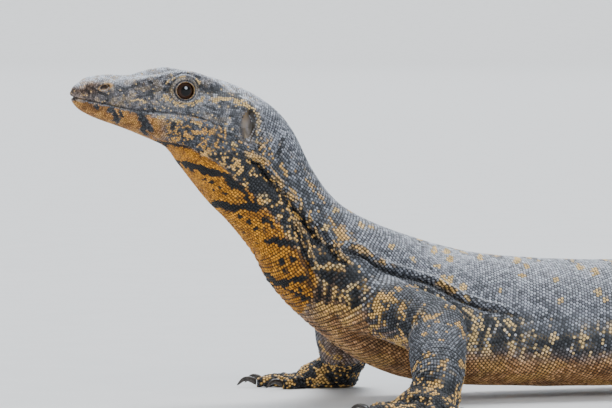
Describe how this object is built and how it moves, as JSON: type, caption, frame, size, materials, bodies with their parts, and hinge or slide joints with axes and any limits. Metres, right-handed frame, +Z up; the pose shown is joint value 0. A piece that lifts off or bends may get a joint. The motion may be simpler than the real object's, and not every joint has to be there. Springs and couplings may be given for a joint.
{
  "type": "water monitor lizard model",
  "caption": "Still life-size water monitor lizard standing on four spread legs with neck and head raised, long tail laid on the floor.",
  "frame": {"origin": "on the floor, under the middle of the bounding box", "axes": "+Z up, -X towards the snout, +X towards the tail, +Y to the animal's right"},
  "size_m": [1.1702, 0.3486, 0.1668],
  "materials": {
    "skin": "dark slate scaly skin with cream spots",
    "throat": "ochre scaly skin with dark bars",
    "eye": "wet dark brown",
    "claw": "smooth dark horn"
  },
  "bodies": {
    "root": {"head": "skin", "lower_jaw": "throat", "eye_left": "eye", "eye_right": "eye", "neck": "skin", "torso": "skin", "tail_base": "skin", "tail_middle": "skin", "tail_tip": "skin", "upper_arm_left": "skin", "forearm_left": "skin", "hand_left": "skin", "upper_arm_right": "skin", "forearm_right": "skin", "hand_right": "skin", "thigh_left": "skin", "shank_left": "skin", "foot_left": "skin", "thigh_right": "skin", "shank_right": "skin", "foot_right": "skin", "claw_fore_left_1": "claw", "claw_fore_left_2": "claw", "claw_fore_left_3": "claw", "claw_fore_left_4": "claw", "claw_fore_left_5": "claw", "claw_fore_right_1": "claw", "claw_fore_right_2": "claw", "claw_fore_right_3": "claw", "claw_fore_right_4": "claw", "claw_fore_right_5": "claw", "claw_hind_left_1": "claw", "claw_hind_left_2": "claw", "claw_hind_left_3": "claw", "claw_hind_left_4": "claw", "claw_hind_left_5": "claw", "claw_hind_right_1": "claw", "claw_hind_right_2": "claw", "claw_hind_right_3": "claw", "claw_hind_right_4": "claw", "claw_hind_right_5": "claw"}
  },
  "joints": []
}
